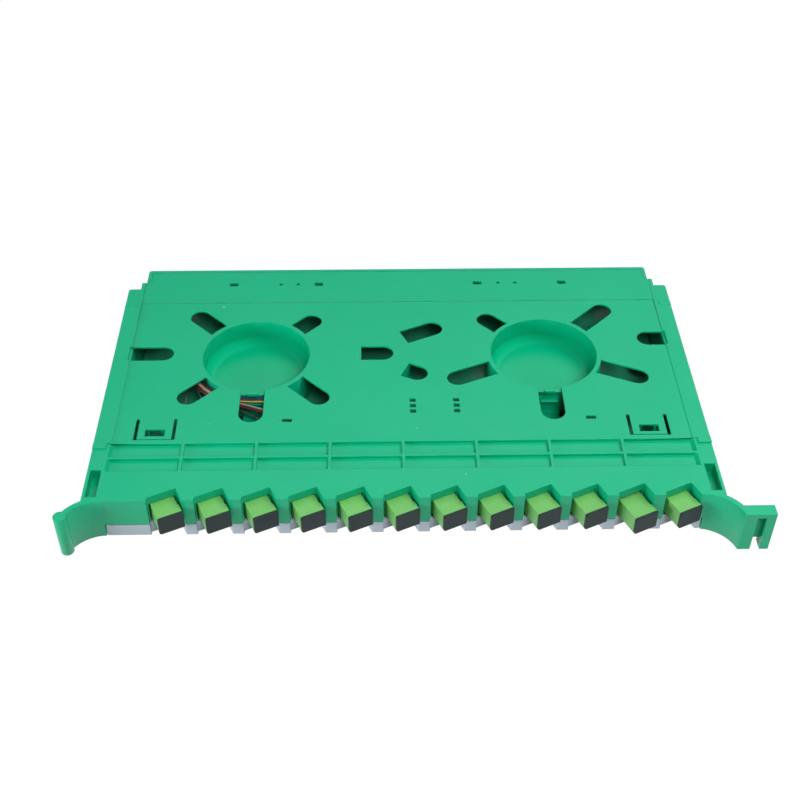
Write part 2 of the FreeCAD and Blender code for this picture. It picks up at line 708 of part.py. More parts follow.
def hollows():
    """What is cut out of the finished moulding."""
    tools = []
    mouth = f"{TOP} + rim_rise + {OVER}"
    floor = f"{TOP} - hub_depth"
    for sign in ("-", ""):
        hub_x = f"({sign}hub_spacing / 2)"
        tools.append(post("hub_bore", hub_x, "0", (f"{floor} + hub_round", mouth), "hub_bore"))
        tools.append(post("hub_floor", hub_x, "0", (floor, mouth), "hub_bore - hub_round"))
        ring = doc.addObject("Part::Torus", "hub_ring")
        bind(ring, "Radius1", "hub_bore - hub_round")
        bind(ring, "Radius2", "hub_round")
        place(ring, PLAN, hub_x, "0", f"{floor} + hub_round")
        tools.append(ring)
        door = (f"{hub_x} - door_width / 2", f"{hub_x} + door_width / 2")
        lug = (f"{hub_x} - door_lug_width / 2", f"{hub_x} + door_lug_width / 2")
        outer = f"-{HUB_OUT} - tab_gap"
        tools.append(block("door_lip", door, (WALL_MIDDLE, "-hub_bore + hub_wall"), (LIP, mouth)))
        for wide in ((door[0], lug[0]), (lug[1], door[1])):
            tools.append(block("door_lip_side", wide, (outer, WALL_MIDDLE), (LIP, mouth)))
        tools.append(block("door_socket", (f"{hub_x} - socket_width / 2", f"{hub_x} + socket_width / 2"),
                           (outer, f"-{HUB_OUT} + socket_depth"), (LEDGE_TOP, f"{LIP} - socket_rim")))
    hole = ("half_width", f"{RAIL_OUT} - rail_hole_wall")
    tools += both_sides(block, "rail_hole", hole, ("-rail_hole_rear - rail_hole_length", "-rail_hole_rear"),
                        (f"{TOP} - rail_hole_depth", mouth))
    for sign in ("-", ""):
        start = f"{sign}{REAR_INNER}" if sign == "" else f"-{REAR_HALF} - {OVER}"
        tools.append(axle("pivot_hole", (f"{start} - {OVER}", f"{start} + wall_thick + {OVER}"),
                          "pivot_y", "pivot_z", "pivot_radius + pivot_gap"))
    entry_top = f"{UNDER} - entry_drop"
    tools += both_sides(block, "cable_entry", (f"{ENTRY_X} - entry_width / 2", f"{ENTRY_X} + entry_width / 2"),
                        (f"rear_y - wall_thick - {OVER}", f"rear_y + {OVER}"),
                        (f"{entry_top} - entry_height", entry_top))
    slot_x = (f"{BLOCK_X} + ear_slot_x", f"{BLOCK_X} + ear_slot_x + ear_slot_width")
    tools.append(block("ear_slot", slot_x, (f"{BLOCK_Y} - {OVER}", f"{BLOCK_Y} + ear_slot_depth"),
                       (f"-{OVER}", f"{TOP} - ear_slot_top")))
    tools.append(block("ear_slot_exit", slot_x,
                       (f"{BLOCK_Y} - {OVER}", f"{BLOCK_Y} + ear_block_width + {OVER}"),
                       (f"-{OVER}", "ear_slot_exit")))
    tall = (f"-{OVER}", f"{mouth} + pad_rise")
    for side in ("-", "+"):
        tools.append(corner_cutter("rail_corner", f"{side}{RAIL_OUT}", "rail_rear", side, tall))
        tools.append(corner_cutter("rear_corner", f"{side}{REAR_HALF}", "rear_y", side, tall))
    for index in range(port_total()):
        half = "(adapter_width / 2 + key_rise + port_gap)"
        tall = (f"{FRONT_LOW} - {OVER}", f"{AXIS} + adapter_height / 2 + port_gap")
        tools.append(block(f"port_window_{index}", (f"-{half}", half), (f"-{OVER}", f"port_wall + {OVER}"),
                           tall, port_frame(index)))
    return tools


def tray_base():
    """The green moulding."""
    solids = [panel()] + walls() + hubs_and_tabs() + ribs() + clips() + rails() + ears()
    return settle(cut("tray", fuse("tray_solids", solids), hollows()), "tray_base")


def front_cover():
    """Grey cover: saw-tooth skirt, flat plate, end walls and the rear flange with its catch windows."""
    low = "cover_lift"
    plate = block("cover_plate", (f"-{COVER_HALF}", COVER_HALF), ("-front_y", "-cover_rear"),
                  (low, f"{low} + cover_thick"))
    plate = cut("cover_sheet", plate, notch_cutters("cover_notch", ("0", f"{low} + cover_thick + {OVER}")))
    parts = [plate, sawtooth_wall("skirt", "cover_thick", (low, SKIRT_TOP), COVER_HALF)]
    parts += both_sides(block, "cover_end", (f"{COVER_HALF} - cover_thick", COVER_HALF),
                        ("-front_y", "-cover_rear"), (low, SKIRT_TOP))
    parts.append(block("cover_flange", (f"-{COVER_HALF}", COVER_HALF),
                       ("-cover_rear - cover_thick", "-cover_rear"), (low, SKIRT_TOP)))
    wide = (f"{TONGUE_X} - catch_window_width / 2", f"{TONGUE_X} + catch_window_width / 2")
    windows = both_sides(block, "cover_catch", wide,
                         (f"-cover_rear - cover_thick - {OVER}", f"-cover_rear + {OVER}"),
                         ("catch_low - catch_gap", "catch_low + catch_thick + catch_gap"))
    settle(cut("grey_cover", fuse("cover_solids", parts), windows), "front_cover")


def lid():
    """Lid with a lug and a pivot pin at each rear corner."""
    plate_z = ("cover_lift", "cover_lift + lid_thick")
    main_half = f"({INNER} - lid_gap)"
    rear_half = f"({REAR_INNER} - lid_gap)"
    shoulder = "(shoulder_y - wall_thick - 2 * lid_gap)"
    parts = [
        block("lid_main", (f"-{main_half}", main_half), ("-cover_rear + lid_gap", shoulder), plate_z),
        block("lid_rear", (f"-{rear_half}", rear_half), (shoulder, "pivot_y + lid_tail"), plate_z),
    ]
    lug = (f"{rear_half} - lug_thick", rear_half)
    lug_y = ("pivot_y - lug_radius", "pivot_y + lid_tail")
    parts += both_sides(block, "lug", lug, lug_y, ("cover_lift", "pivot_z"))
    parts += both_sides(lambda name, x, y, z: axle(name, x, y, z, "lug_radius"), "lug_end", lug,
                        "pivot_y", "pivot_z")
    parts += both_sides(lambda name, x, y, z: axle(name, x, y, z, "pivot_radius"), "pivot",
                        (f"{rear_half} - lug_thick", f"{REAR_HALF} - pivot_gap"), "pivot_y", "pivot_z")
    settle(fuse("bay_lid", parts), "lid")


def adapter_master():
    """Adapter: square body, flange, key, two plug cavities and the tube for the alignment sleeve."""
    half_w, half_h = "adapter_width / 2", "adapter_height / 2"
    tall = (f"{AXIS} - {half_h}", f"{AXIS} + {half_h}")
    shell = fuse("adapter_shell", [
        block("adapter_body", (f"-{half_w}", half_w), ("-adapter_front", "adapter_rear"), tall),
        block("adapter_flange", ("-flange_width / 2", "flange_width / 2"),
              (FLANGE_BACK, f"{FLANGE_BACK} + flange_thick"), tall),
        block("adapter_key", ("0", f"{half_w} + key_rise"),
              ("-adapter_front", "-adapter_front + key_length"), tall),
    ])
    cavity_x = ("-cavity_width / 2", "cavity_width / 2")
    cavity_z = (f"{AXIS} - cavity_height / 2", f"{AXIS} + cavity_height / 2")
    body = cut("adapter_hollow", shell, [
        block("adapter_mouth", cavity_x, (f"-adapter_front - {OVER}", f"{WEB} - web_thick / 2"), cavity_z),
        block("adapter_back", cavity_x, (f"{WEB} + web_thick / 2", f"adapter_rear + {OVER}"), cavity_z),
    ])
    tube_y = (f"{WEB} - tube_length / 2", f"{WEB} + tube_length / 2")
    tube = bar("adapter_tube", "0", tube_y, AXIS, "tube_radius")
    bore = bar("adapter_bore", "0", (f"{tube_y[0]} - {OVER}", f"{tube_y[1]} + {OVER}"), AXIS,
               "sleeve_radius + fit_gap")
    return cut("adapter", fuse("adapter_solid", [body, tube]), [bore])


def cap_master():
    """Dust cap: flat face, hollow plug that enters the adapter."""
    half_w = "adapter_width / 2"
    face = block("cap_face", (f"-{half_w} - cap_lap", f"{half_w} + key_rise + cap_lap"),
                 ("-adapter_front - cap_gap - cap_thick", "-adapter_front - cap_gap"),
                 (f"{AXIS} - adapter_height / 2 - 2 * cap_lap", f"{AXIS} + adapter_height / 2"))
    corner = doc.addObject("Part::Fillet", "cap_rounded")
    corner.Base = face
    doc.recompute()
    upright = [position for position, edge in enumerate(face.Shape.Edges, start=1)
               if abs(edge.tangentAt(edge.FirstParameter).y) > 0.99 and edge.CenterOfMass.x < 0]
    corner.Edges = [(position, size("cap_thick"), size("cap_thick")) for position in upright]
    plug = block("cap_plug", ("-cavity_width / 2 + plug_gap", "cavity_width / 2 - plug_gap"),
                 ("-adapter_front - cap_gap - cap_thick / 2", "-adapter_front + cap_plug"),
                 (f"{AXIS} - cavity_height / 2 + plug_gap", f"{AXIS} + cavity_height / 2 - plug_gap"))
    hollow = bar("cap_hollow", "0", ("-adapter_front + cap_thick", f"-adapter_front + cap_plug + {OVER}"), AXIS,
                 "tube_radius + plug_gap")
    return cut("cap", fuse("cap_solid", [corner, plug]), [hollow])


def plug_master():
    """Plug on the inner side: square body with finger grooves and the bore of its ferrule."""
    half_w = "(cavity_width / 2 - plug_gap)"
    half_h = "(cavity_height / 2 - plug_gap)"
    body = block("plug_body", (f"-{half_w}", half_w), (PLUG_START, PLUG_END),
                 (f"{AXIS} - {half_h}", f"{AXIS} + {half_h}"))
    tools = [bar("plug_bore", "0", (f"{PLUG_START} - {OVER}", f"{WEB} + ferrule_length + fit_gap"), AXIS,
                 "ferrule_radius + fit_gap")]
    for index in range(count("groove_count")):
        groove = f"({PLUG_END} - {index + 1} * groove_pitch)"
        for side, low in (("left", f"-{half_w} - {OVER}"), ("right", f"{half_w} - groove_depth")):
            tools.append(block(f"groove_{side}_{index}", (low, f"{low} + groove_depth + {OVER}"),
                               (groove, f"{groove} + groove_width"),
                               (f"{AXIS} - cavity_height", f"{AXIS} + cavity_height")))
    return cut("plug", body, tools)


def boot_master():
    """Tapered bend relief behind a plug."""
    boot = doc.addObject("Part::Cone", "boot")
    bind(boot, "Radius1", "boot_radius")
    bind(boot, "Radius2", "boot_tip")
    bind(boot, "Height", "boot_length")
    place(boot, PLAN, "0", PLUG_END, AXIS, (FreeCAD.Vector(1, 0, 0), -90))
    return boot


def ferrule_master():
    """Ferrule that carries the fibre end to the middle of the adapter."""
    return bar("ferrule", "0", (f"{WEB} + fit_gap", f"{WEB} + ferrule_length"), AXIS, "ferrule_radius")


def sleeve_master():
    """Sleeve that lines up the two ferrules of an adapter."""
    reach = (f"{WEB} - tube_length / 2", f"{WEB} + tube_length / 2")
    tube = bar("sleeve_tube", "0", reach, AXIS, "sleeve_radius")
    bore = bar("sleeve_bore", "0", (f"{reach[0]} - {OVER}", f"{reach[1]} + {OVER}"), AXIS,
               "ferrule_radius + fit_gap")
    return cut("sleeve", tube, [bore])


def seat(index):
    """Plan frame and height of the adapter in a port; one adapter sits further out and lower."""
    frame_x, frame_y, turn = port_frame(index)
    if index + 1 != count("loose_port_number"):
        return (frame_x, frame_y, turn), "0"
    frame_x = f"({frame_x} + loose_offset * sin(port_tilt))"
    frame_y = f"({frame_y} - loose_offset * cos(port_tilt))"
    return (frame_x, frame_y, turn), "(-loose_drop)"


def copies(master, label):
    """One copy of a master in each port, each a sub-part of its own."""
    for index in range(port_total()):
        node = doc.addObject("Part::Compound", f"{label}_{index + 1:02d}")
        node.Links = [master]
        settle(node, f"{label}_{index + 1:02d}", *seat(index))


def group(master, label):
    """Copies of a small master in all ports, as one sub-part."""
    members = []
    for index in range(port_total()):
        member = doc.addObject("Part::Compound", f"{label}_member_{index}")
        member.Links = [master]
        frame, height = seat(index)
        place(member, frame, "0", "0", height)
        members.append(member)
    node = doc.addObject("Part::Compound", label)
    node.Links = members
    settle(node, label)


def splice_place(index):
    """Centre y and height of a splice: two layers in the slots of the holder."""
    slots = count("splice_slot_count")
    layer, slot = divmod(index, slots)
    across = f"(-splice_y + ({slot} - {(slots - 1) / 2}) * splice_pitch)"
    height = f"({COMB_FLOOR} - splice_gap - splice_radius - {layer} * (2 * splice_radius + splice_gap))"
    return across, height


def splice_holder():
    """Comb that the splices lie in, held by the hooks of the tray."""
    half_base = "(window_columns / 2 + window_length / 2 - splice_gap)"
    half_comb = "comb_length / 2"
    slots = count("splice_slot_count")
    half_deep = f"({slots} * splice_pitch / 2 + comb_wall / 2)"
    deep = (f"-splice_y - {half_deep}", f"-splice_y + {half_deep}")
    parts = [
        block("holder_base", (f"splice_x - {half_base}", f"splice_x + {half_base}"), deep,
              (f"{UNDER} - holder_base", UNDER)),
        block("comb_floor", (f"splice_x - {half_comb}", f"splice_x + {half_comb}"), deep,
              (COMB_FLOOR, f"{UNDER} - holder_base")),
    ]
    low = splice_place(port_total() - 1)[1]
    for index in range(slots + 1):
        middle = f"(-splice_y + ({index} - {slots / 2}) * splice_pitch)"
        parts.append(block(f"comb_wall_{index}", (f"splice_x - {half_comb}", f"splice_x + {half_comb}"),
                           (f"{middle} - comb_wall / 2", f"{middle} + comb_wall / 2"),
                           (f"{low} - splice_radius", COMB_FLOOR)))
    settle(fuse("comb", parts), "splice_holder")


def splice_sleeves():
    """Protected splices, one for each port."""
    members = []
    for index in range(port_total()):
        across, height = splice_place(index)
        members.append(axle(f"splice_{index}", ("splice_x - splice_length / 2", "splice_x + splice_length / 2"),
                            across, height, "splice_radius"))
    node = doc.addObject("Part::Compound", "splices")
    node.Links = members
    settle(node, "splice_sleeves")


def rounded_path(points, radii):
    """Wire of straight runs through the points, with a tangent arc at each inner point."""
    edges = []
    start = points[0]
    for before, corner, after, radius in zip(points, points[1:], points[2:], radii):
        back = (before - corner).normalize()
        ahead = (after - corner).normalize()
        half = back.getAngle(ahead) / 2
        tangent = radius / math.tan(half)
        first = corner + back * tangent
        last = corner + ahead * tangent
        inward = (back + ahead).normalize()
        middle = corner + inward * (radius / math.sin(half) - radius)
        edges.append(Part.LineSegment(start, first).toShape())
        edges.append(Part.Arc(first, middle, last).toShape())
        start = last
    edges.append(Part.LineSegment(start, points[-1]).toShape())
    return Part.Wire(edges)


def hub_corners(hub, wind, heading, leave, inlet):
    """Points around a hub for equal arcs from one heading to another; the first lies at the inlet's height."""
    turns = math.ceil((heading + leave) / (math.pi / 2))
    step = (heading + leave) / turns
    corners = []
    for index in range(turns):
        aside = heading - (index + 0.5) * step + math.pi / 2
        reach = wind / math.cos(step / 2)
        corners.append(hub + FreeCAD.Vector(math.cos(aside), math.sin(aside), 0) * reach)
    corners[0].z = inlet
    return corners, [ARC_SHARE * wind] * turns


def open_bends(points, bends):
    """Bend radii of a route, with those left open as large as their two runs allow."""
    runs = [a.distanceToPoint(b) for a, b in zip(points, points[1:])]
    halves = [((a - b).getAngle(c - b)) / 2 for a, b, c in zip(points, points[1:], points[2:])]
    taken = [bend / math.tan(half) if bend else None for bend, half in zip(bends, halves)]
    radii = []
    for index, (bend, half) in enumerate(zip(bends, halves)):
        room = []
        for run, side in ((runs[index], index - 1), (runs[index + 1], index + 1)):
            fixed = taken[side] if 0 <= side < len(taken) else None
            room.append(RUN_SHARE * (run - fixed) if fixed else RUN_SHARE * run / 2)
        radii.append(bend or min(min(room) * math.tan(half), size("fibre_bend")))
    return radii


def pigtail_route(index):
    """Points and bend radii of one fibre: out of its boot, round the left hub, to its splice."""
    rings = count("splice_slot_count")
    order = port_total() - 1 - index
    layer, ring = divmod(order, rings)
    frame, drop = seat(index)
    axis = number(AXIS)
    upper = layer == 0
    height = axis + (1 - layer) * size("fibre_layer")
    inlet = number(UNDER) - size("first_layer") if upper else height
    wind = number(WIND_RADIUS) + ring * size("fibre_pitch")
    hub = FreeCAD.Vector(-size("hub_spacing") / 2, 0, height)
    tilt = math.radians(size("port_tilt"))
    leave = math.radians(size("leave_angle"))
    inward = FreeCAD.Vector(-math.sin(tilt), math.cos(tilt), 0)
    boot = FreeCAD.Vector(number(frame[0]), number(frame[1]), axis + number(drop))
    start = boot + inward * (number(PLUG_END) + size("boot_length"))
    lane = -size("lane_y") + (rings - 1 - ring) * size("fibre_pitch")
    first = start + inward * ((lane - start.y) / inward.y)
    skew = ring * size("fibre_pitch") * size("lane_skew")
    lane_end = FreeCAD.Vector(-size("lane_end") - skew, lane, inlet)
    long_way = first.x - size("rise_length") > lane_end.x
    entry = lane_end if long_way else FreeCAD.Vector(first.x, first.y, inlet)
    to_hub = hub - entry
    to_hub.z = 0
    heading = math.atan2(to_hub.y, to_hub.x) + math.asin(wind / to_hub.Length)
    approach = [lane_end] if long_way else []
    if long_way and 2 * ring < rings:
        heading = math.pi
        approach.append(FreeCAD.Vector(-size("hug_x") - skew, -wind, inlet))
    along = FreeCAD.Vector(-1, 0, 0) if long_way else FreeCAD.Vector(math.cos(heading), math.sin(heading), 0)
    if upper or layer > 1:
        risen = first + along * size("rise_length")
        risen.z = inlet
        approach.insert(0, risen)
    corners, arcs = hub_corners(hub, wind, heading, leave, inlet)
    across, splice_z = (number(text) for text in splice_place(order))
    last_x = hub.x + wind * math.sin(leave)
    last_y = wind * math.cos(leave)
    away = FreeCAD.Vector(last_x + (last_y - across) / math.tan(leave), across, height)
    end = FreeCAD.Vector(size("splice_x") - size("splice_length") / 2, across, splice_z)
    points = [start, first] + approach + corners
    points += [away, end - FreeCAD.Vector(size("splice_lead"), 0, 0), end]
    bends = [None] * (1 + len(approach)) + arcs + [None, None]
    return points, open_bends(points, bends)


def pigtails():
    """Coloured fibres, one from each plug."""
    for index in range(port_total()):
        points, radii = pigtail_route(index)
        path = rounded_path(points, radii)
        ring = Part.Circle(points[0], points[1] - points[0], size("fibre_radius")).toShape()
        tube = path.makePipeShell([Part.Wire([ring])], True, False)
        expected = math.pi * size("fibre_radius") ** 2 * path.Length
        print(f"pigtail_{index + 1:02d}: length {path.Length:.1f}, volume ratio {tube.Volume / expected:.4f}, "
              f"radii {[round(radius, 1) for radius in radii]}")
        node = doc.addObject("Part::Feature", f"pigtail_{index + 1:02d}")
        node.Shape = tube
        settle(node, f"pigtail_{index + 1:02d}")


def nodes():
    """Sub-parts of the document, by the labels that were settled on."""
    names = ["tray_base", "front_cover", "lid", "splice_holder", "splice_sleeves", "boots", "ferrules",
             "alignment_sleeves"]
    for index in range(1, port_total() + 1):
        names += [f"{kind}_{index:02d}" for kind in ("adapter", "dust_cap", "connector", "pigtail")]
    return [doc.getObjectsByLabel(name)[0] for name in names]


def main():
    """Build the document, test it and write each sub-part."""
    tray_base()
    front_cover()
    lid()
    copies(adapter_master(), "adapter")
    copies(cap_master(), "dust_cap")
    copies(plug_master(), "connector")
    group(boot_master(), "boots")
    group(ferrule_master(), "ferrules")
    group(sleeve_master(), "alignment_sleeves")
    splice_holder()
    splice_sleeves()
    pigtails()
    doc.recompute()
    for thing in doc.Objects:
        if "Invalid" in thing.State or "Error" in thing.State:
            raise RuntimeError(f"{thing.Name} failed: {thing.State}")
    os.makedirs("parts", exist_ok=True)
    for node in nodes():
        if node.Shape.isNull() or not node.Shape.isValid():
            raise RuntimeError(f"{node.Label} has no valid shape")
        node.Shape.exportStep(os.path.join("parts", f"{node.Label}.step"))


main()
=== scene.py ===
"""Studio scene of the fibre splice tray: finishes for its mouldings, adapters, caps and fibres."""

import logging
import math
from dataclasses import dataclass, field
from enum import Enum
from typing import Any, Dict, List, Optional, Sequence, Tuple, Union

import bpy
from mathutils import Matrix, Vector


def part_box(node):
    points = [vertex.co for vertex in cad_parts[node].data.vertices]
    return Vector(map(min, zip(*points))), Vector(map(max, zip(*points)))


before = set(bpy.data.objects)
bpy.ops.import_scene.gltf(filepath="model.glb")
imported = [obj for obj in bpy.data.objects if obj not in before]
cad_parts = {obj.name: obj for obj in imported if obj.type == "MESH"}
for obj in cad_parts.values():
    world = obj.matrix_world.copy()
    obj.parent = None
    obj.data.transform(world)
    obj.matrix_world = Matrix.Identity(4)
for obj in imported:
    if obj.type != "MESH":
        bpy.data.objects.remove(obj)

log = logging.getLogger("splice_tray")

MM = 0.001
BLACK_LEVEL = 0.0
WHITE_LEVEL = 1.0
WHITE = (1.0, 1.0, 1.0, 1.0)
NOISE_ROUGHNESS = 0.55
# Sockets of a Mix node for colours, which share their names with others
MIX_FACTOR, MIX_FIRST, MIX_SECOND, MIX_RESULT = 0, 6, 7, 2

Colour = Tuple[float, float, float]
Linear = Tuple[float, float, float, float]
Triple = Tuple[float, float, float]
# Edge of a mask and the width over which it rises
Soft = Tuple[float, float]


class Operation(Enum):
    """Operation of a Math or Vector Math node."""

    ADD = "ADD"
    SUBTRACT = "SUBTRACT"
    MULTIPLY = "MULTIPLY"
    ABSOLUTE = "ABSOLUTE"
    DOT_PRODUCT = "DOT_PRODUCT"
    LENGTH = "LENGTH"


class Detail(Enum):
    """Octaves of finer noise in a pattern."""

    SMOOTH = 1.0
    PLAIN = 2.0
    FINE = 3.0
    FINEST = 4.0


class Axis(Enum):
    """Direction of the shared frame."""

    RIGHT = (1, 0, 0)
    REAR = (0, 1, 0)
    UP = (0, 0, 1)


class Pattern(Enum):
    """Shift, in metres, that keeps one noise pattern apart from the others."""

    CLOUDS = (0, 0, 0)
    MOTTLE = (0.3, 0.1, 0.2)
    WEAR_AND_HIGHLIGHT = (0.7, 0.2, 0.4)
    SPECKS = (0.5, 0.9, 0.1)
    SHEEN = (0.2, 0.6, 0.8)


class Ray(Enum):
    """Kind of ray that a floor or a world can tell apart."""

    CAMERA = "Is Camera Ray"
    GLOSSY = "Is Glossy Ray"
    TRANSMISSION = "Is Transmission Ray"


def linear(colour: Colour) -> Linear:
    """Turn a display colour into the linear colour that sockets hold, by the sRGB curve.

    Args:
        colour: Red, green and blue from 0 to 255, as a screen shows them.

    Returns:
        Linear red, green, blue and a full alpha.
    """
    parts = [c / 255 for c in colour]
    red, green, blue = [c / 12.92 if c <= 0.04045 else ((c + 0.055) / 1.055) ** 2.4 for c in parts]
    return red, green, blue, 1.0


def toned(colour: Linear, level: float, share: float) -> Linear:
    """Move a linear colour towards black, white or a grey between them.

    Args:
        colour: Linear red, green, blue and alpha.
        level: What it moves towards, from black at 0 to white at 1.
        share: How far it moves, from 0 to 1.

    Returns:
        The moved colour with a full alpha.
    """
    red, green, blue = [c + (level - c) * share for c in colour[:3]]
    return red, green, blue, 1.0


class Value:
    """A number on a node's output, with the arithmetic of Math nodes."""

    def __init__(self, shader: "Shader", socket: bpy.types.NodeSocket) -> None:
        """Keep the socket and the shader that it belongs to."""
        self.shader = shader
        self.socket = socket

    def _math(self, operation: Operation, first: Any, second: Any, clamp: bool = False) -> "Value":
        """Add one Math node and return its result."""
        settings = {"operation": operation.value, "use_clamp": clamp}
        return self.shader.value(self.shader.node("ShaderNodeMath", settings, {0: first, 1: second}))

    def __add__(self, other: Any) -> "Value":
        """Sum."""
        return self._math(Operation.ADD, self, other)

    __radd__ = __add__

    def __mul__(self, other: Any) -> "Value":
        """Product."""
        return self._math(Operation.MULTIPLY, self, other)

    __rmul__ = __mul__

    def __sub__(self, other: Any) -> "Value":
        """Difference."""
        return self._math(Operation.SUBTRACT, self, other)

    def __rsub__(self, other: Any) -> "Value":
        """Difference with the number first."""
        return self._math(Operation.SUBTRACT, other, self)

    def __abs__(self) -> "Value":
        """Size without the sign."""
        return self._math(Operation.ABSOLUTE, self, 0.0)

    def within(self, top: float) -> "Value":
        """The number, kept between 0 and a top."""
        return self._math(Operation.MULTIPLY, self, 1 / top, clamp=True) * top

    def above(self, edge: float, soft: float) -> "Value":
        """Mask that rises from 0 to 1 over a soft edge."""
        return self._math(Operation.MULTIPLY, self - (edge - soft / 2), 1 / soft, clamp=True)


Input = Union[float, Sequence[float], Value, bpy.types.NodeSocket]


class Shader:
    """Node tree of one material or of the world."""

    def __init__(self, owner: Union[bpy.types.Material, bpy.types.World]) -> None:
        """Start an empty tree.

        Args:
            owner: The material or the world that it belongs to.
        """
        owner.use_nodes = True
        self.tree = owner.node_tree
        self.tree.nodes.clear()

    def node(self, kind: str, settings: Optional[Dict[str, Any]] = None,
             sockets: Optional[Dict[Union[int, str], Input]] = None) -> bpy.types.Node:
        """Add a node.

        Args:
            kind: Type name of the node.
            settings: Properties that are set first, such as an operation.
            sockets: Values or links of its inputs, by name or by number.

        Returns:
            The new node.
        """
        made = self.tree.nodes.new(kind)
        for name, value in (settings or {}).items():
            setattr(made, name, value)
        for name, value in (sockets or {}).items():
            target = made.inputs[name]
            source = value.socket if isinstance(value, Value) else value
            if isinstance(source, bpy.types.NodeSocket):
                self.tree.links.new(source, target)
            else:
                target.default_value = source
        return made

    def value(self, made: bpy.types.Node, output: Union[int, str] = 0) -> Value:
        """A node's output as a number."""
        return Value(self, made.outputs[output])

    def place(self, offset: Sequence[float] = (0, 0, 0)) -> bpy.types.NodeSocket:
        """Object coordinates, moved by an offset in metres."""
        spot = self.node("ShaderNodeTexCoord").outputs["Object"]
        return self.node("ShaderNodeMapping", None, {"Vector": spot, "Location": offset}).outputs[0]

    def local(self, middle: Sequence[float], unit: Sequence[float],
              turn: float = 0.0) -> bpy.types.NodeSocket:
        """Place as seen from a middle.

        Args:
            middle: The middle, in metres.
            unit: What counts as one along each axis, in metres.
            turn: Turn of the axes about the upright, in radians.

        Returns:
            Socket of the place in those units.
        """
        sockets = {"Vector": self.place(), "Location": middle, "Rotation": (0, 0, turn), "Scale": unit}
        return self.node("ShaderNodeMapping", {"vector_type": "TEXTURE"}, sockets).outputs[0]

    def dot(self, first: Input, second: Input) -> Value:
        """Dot product of two vectors."""
        settings = {"operation": Operation.DOT_PRODUCT.value}
        return self.value(self.node("ShaderNodeVectorMath", settings, {0: first, 1: second}), "Value")

    def length(self, vector: Input) -> Value:
        """Length of a vector."""
        settings = {"operation": Operation.LENGTH.value}
        return self.value(self.node("ShaderNodeVectorMath", settings, {0: vector}), "Value")

    def along(self, axis: Axis, vector: Optional[bpy.types.NodeSocket] = None) -> Value:
        """Share of a vector along an axis.

        Args:
            axis: The axis.
            vector: The vector, or None for the place in metres of Object coordinates.

        Returns:
            The vector's length along the axis.
        """
        return self.dot(vector or self.place(), axis.value)

    def rays(self, *kinds: Ray) -> Value:
        """Mask of what some kinds of ray see.

        Args:
            kinds: The kinds of ray.

        Returns:
            At least 1 for a ray of these kinds and 0 for any other.
        """
        path = self.node("ShaderNodeLightPath")
        first, *others = [self.value(path, kind.value) for kind in kinds]
        return sum(others, first)

    def noise(self, cell: float, detail: Detail = Detail.PLAIN, pattern: Pattern = Pattern.CLOUDS) -> Value:
        """Noise whose cells are about so many metres wide.

        Args:
            cell: Width of a cell, in metres.
            detail: Octaves of finer noise.
            pattern: Which of the shifted patterns it takes.

        Returns:
            The noise, about 0 to 1.
        """
        sockets = {"Vector": self.place(pattern.value), "Scale": 1 / cell, "Detail": detail.value,
                   "Roughness": NOISE_ROUGHNESS}
        return self.value(self.node("ShaderNodeTexNoise", {"noise_dimensions": "3D"}, sockets))

    def colour(self, factor: Input, first: Input, second: Input) -> bpy.types.NodeSocket:
        """Mix of two colours.

        Args:
            factor: Share of the second colour.
            first: Colour below.
            second: Colour above.

        Returns:
            Socket of the mixed colour.
        """
        sockets = {MIX_FACTOR: factor, MIX_FIRST: first, MIX_SECOND: second}
        return self.node("ShaderNodeMix", {"data_type": "RGBA"}, sockets).outputs[MIX_RESULT]

    def bump(self, height: Value, strength: float, depth: float,
             normal: Optional[bpy.types.NodeSocket] = None) -> bpy.types.NodeSocket:
        """Normal of a fine relief.

        Args:
            height: The relief, from 0 to 1.
            strength: Share of the relief that shows.
            depth: Its depth, in metres.
            normal: Normal under it, or None for the surface's own.

        Returns:
            Socket of the new normal.
        """
        sockets = {"Strength": strength, "Distance": depth, "Height": height}
        if normal:
            sockets["Normal"] = normal
        return self.node("ShaderNodeBump", None, sockets).outputs[0]

    def mixed(self, factor: Input, first: bpy.types.Node, second: bpy.types.Node) -> bpy.types.Node:
        """Mix of two surfaces, with the factor as the second one's share."""
        return self.node("ShaderNodeMixShader", None, {0: factor, 1: first.outputs[0], 2: second.outputs[0]})

    def surface(self, made: bpy.types.Node) -> None:
        """End the tree of a material in this surface."""
        self.node("ShaderNodeOutputMaterial", None, {"Surface": made.outputs[0]})

    def finish(self, sockets: Dict[str, Input]) -> None:
        """End the tree in one Principled surface with these inputs."""
        self.surface(self.node("ShaderNodeBsdfPrincipled", None, sockets))


def new_shader(name: str) -> Tuple[bpy.types.Material, Shader]:
    """A new material and its empty tree."""
    material = bpy.data.materials.new(name)
    return material, Shader(material)


@dataclass(frozen=True)
class Scuff:
    """Pale oval scrape on the tray's surface: its middle and half sizes in mm, its turn in degrees."""

    middle: Triple
    half: Triple
    turn: float = 0.0
    edge: Soft = (0.3, 0.5)

    def mask(self, sh: Shader) -> Value:
        """Mask of the scrape.

        Args:
            sh: The material's tree.

        Returns:
            1 at its middle and 0 outside it.
        """
        middle = [c * MM for c in self.middle]
        half = [c * MM for c in self.half]
        return (1 - sh.length(sh.local(middle, half, math.radians(self.turn)))).above(*self.edge)


